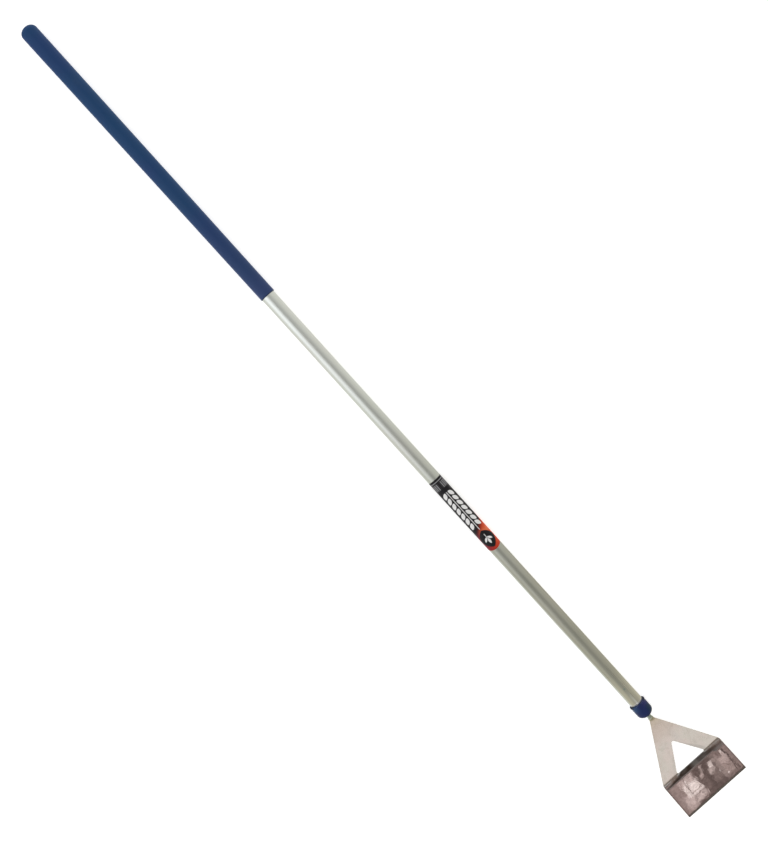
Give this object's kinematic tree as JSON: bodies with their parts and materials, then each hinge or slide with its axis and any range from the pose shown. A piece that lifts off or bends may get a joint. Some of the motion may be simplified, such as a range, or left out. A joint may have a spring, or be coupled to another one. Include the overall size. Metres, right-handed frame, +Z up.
{
  "type": "dutch hoe",
  "caption": "Push hoe for weeding: a bent sheet steel head with an open triangular frame and a ground front edge, on a long aluminium tube with a plastic grip.",
  "frame": {"origin": "on the ground under the middle of the hoe's box, the hoe lying level with its hollow side up", "axes": "+X along the shaft from the grip to the blade, +Y across the blade, +Z up"},
  "size_m": [1.7254, 0.13, 0.037],
  "materials": {
    "head_steel": "mirror-polished stainless steel",
    "weld_metal": "dull, finely rippled weld",
    "plated_steel": "satin zinc plating",
    "ferrule_plastic": "satin moulded plastic, dark blue",
    "tube_aluminium": "satin drawn aluminium",
    "label_vinyl": "satin printed vinyl, black",
    "grip_plastic": "satin moulded plastic, navy blue",
    "plug_nylon": "natural nylon"
  },
  "bodies": {
    "root": {"hoe_head": "head_steel", "weld_bead": "weld_metal", "tang": "plated_steel", "ferrule": "ferrule_plastic", "shaft_tube": "tube_aluminium", "cross_pin": "plated_steel", "label": "label_vinyl", "grip": "grip_plastic", "tang_plug": "plug_nylon", "end_plug": "plug_nylon"}
  },
  "joints": []
}
